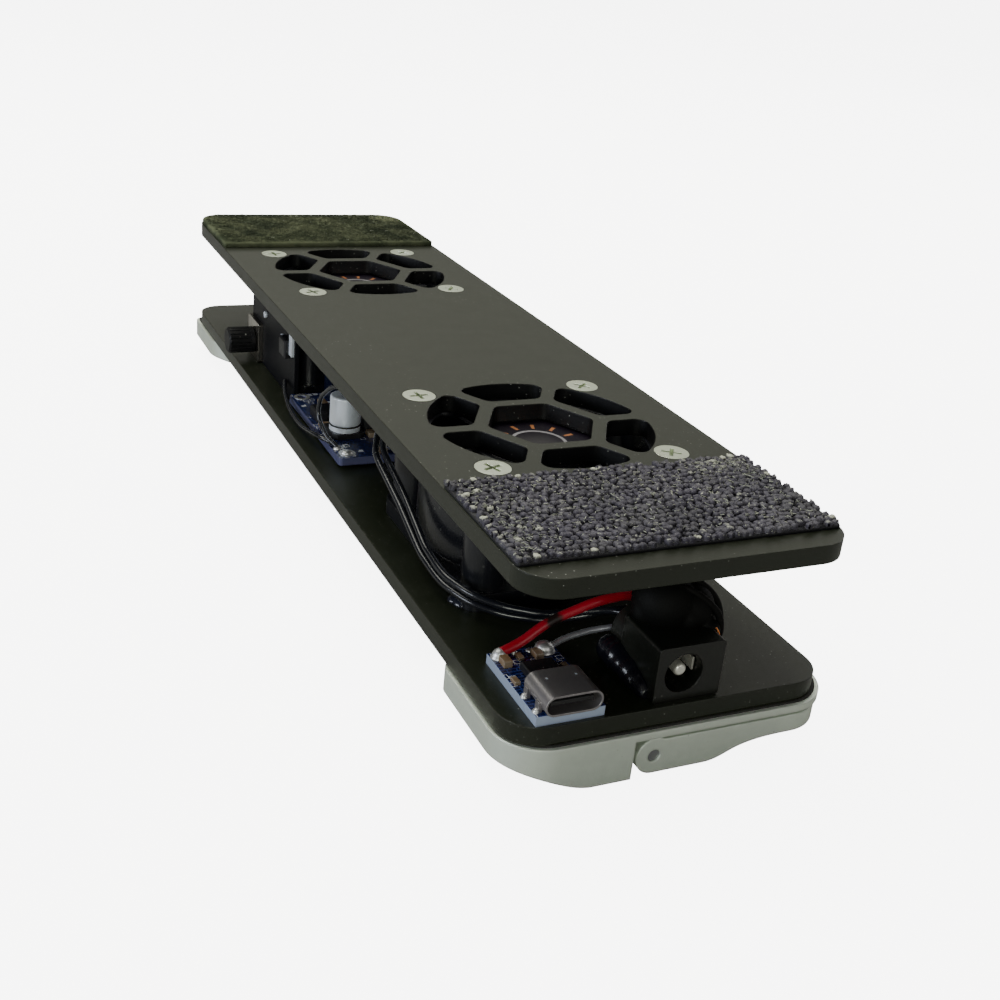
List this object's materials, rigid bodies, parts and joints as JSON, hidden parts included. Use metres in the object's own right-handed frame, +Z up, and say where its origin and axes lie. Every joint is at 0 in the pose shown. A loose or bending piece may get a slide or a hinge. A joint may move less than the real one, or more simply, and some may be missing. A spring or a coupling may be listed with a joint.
{
  "type": "laptop cooling stand",
  "caption": "Flat laptop cooling stand: plates with honeycomb grilles held apart by axial fans, grip pads on top, supply electronics between, folding feet below.",
  "frame": {"origin": "on the table under the middle of the stand", "axes": "+Z up, +Y along the stand from the socket end to the rear, +X across to the right"},
  "size_m": [0.057, 0.202, 0.0354],
  "materials": {
    "plate": "fine matte sheet",
    "grip": "knobbed grip pile",
    "fan_plastic": "moulded black",
    "laminations": "stacked sheet",
    "winding": "enamelled copper wire",
    "steel": "ground",
    "magnet": "ferrite",
    "label": "printed film",
    "zinc": "bright zinc",
    "bronze": "sintered",
    "green_board": "solder mask",
    "foot_aluminium": "bead-blasted",
    "sole_rubber": "matte",
    "foam_tape": "soft foam",
    "blue_board": "solder mask",
    "nickel": "satin nickel",
    "black_insulator": "moulded",
    "chip_epoxy": "epoxy",
    "ceramic": "ceramic",
    "jack_plastic": "moulded black",
    "glue": "melted",
    "solder": "solder",
    "can": "drawn aluminium",
    "ferrite": "ferrite",
    "trimmer_blue": "moulded",
    "brass_screw": "turned",
    "black_board": "solder mask",
    "knob_plastic": "knurled",
    "wire_red": "silicone",
    "wire_black": "PVC"
  },
  "bodies": {
    "chassis": {"capacitor_bases": "black_insulator", "control_board": "black_board", "control_metal_parts": "nickel", "control_transistor": "chip_epoxy", "converter_board": "blue_board", "converter_capacitors": "can", "converter_chips": "chip_epoxy", "converter_small_parts": "ceramic", "converter_solder_pads": "solder", "converter_tape": "foam_tape", "fan_bearings": "bronze", "fan_drive_boards": "green_board", "fan_leads": "wire_black", "foot_hinge_pins": "steel", "foot_tapes": "foam_tape", "front_fan_coils": "winding", "front_fan_frame": "fan_plastic", "front_fan_nuts": "zinc", "front_fan_screws": "zinc", "front_fan_stator_core": "laminations", "front_foot_base": "foot_aluminium", "front_grip_pad": "grip", "inductor": "ferrite", "jack_contacts": "nickel", "jack_glue": "glue", "jack_housing": "jack_plastic", "lower_plate": "plate", "rear_fan_coils": "winding", "rear_fan_frame": "fan_plastic", "rear_fan_nuts": "zinc", "rear_fan_screws": "zinc", "rear_fan_stator_core": "laminations", "rear_foot_base": "foot_aluminium", "rear_grip_pad": "grip", "speed_control_body": "nickel", "supply_wire_pair": "wire_black", "top_plate": "plate", "trimmer_body": "trimmer_blue", "usb_black_wire": "wire_black", "usb_board": "blue_board", "usb_chip": "chip_epoxy", "usb_chip_leads": "solder", "usb_red_wire": "wire_red", "usb_shell": "nickel", "usb_small_parts": "ceramic", "usb_tongue": "black_insulator"},
    "front_rotor": {"front_fan_impeller": "fan_plastic", "front_fan_rotor_steel": "steel", "front_fan_magnet": "magnet", "front_fan_hub_label": "label"},
    "front_leg": {"front_foot_leg": "foot_aluminium", "front_foot_sole": "sole_rubber"},
    "rear_rotor": {"rear_fan_impeller": "fan_plastic", "rear_fan_rotor_steel": "steel", "rear_fan_magnet": "magnet", "rear_fan_hub_label": "label"},
    "rear_leg": {"rear_foot_leg": "foot_aluminium", "rear_foot_sole": "sole_rubber"},
    "speed_knob": {"speed_knob": "knob_plastic"},
    "trimmer_screw": {"trimmer_screw": "brass_screw"}
  },
  "joints": [
    {"name": "front_fan_spin", "type": "hinge", "parent": "chassis", "child": "front_rotor", "pos_m": [0, -0.04825, 0.0209], "axis": [0, 0, 1], "continuous": true},
    {"name": "rear_fan_spin", "type": "hinge", "parent": "chassis", "child": "rear_rotor", "pos_m": [0, 0.04825, 0.0209], "axis": [0, 0, 1], "continuous": true},
    {"name": "front_leg_fold", "type": "hinge", "parent": "chassis", "child": "front_leg", "pos_m": [-0.0035, -0.088, 0.0032], "axis": [0, 1, 0], "range_deg": [0, 90]},
    {"name": "rear_leg_fold", "type": "hinge", "parent": "chassis", "child": "rear_leg", "pos_m": [-0.0035, 0.088, 0.0032], "axis": [0, 1, 0], "range_deg": [0, 90]},
    {"name": "speed_turn", "type": "hinge", "parent": "chassis", "child": "speed_knob", "pos_m": [-0.0254, 0.0578, 0.0153], "axis": [-1, 0, 0], "range_deg": [0, 300]},
    {"name": "trimmer_turn", "type": "hinge", "parent": "chassis", "child": "trimmer_screw", "pos_m": [-0.0131, 0.0234, 0.022], "axis": [0, 0, 1], "continuous": true}
  ]
}
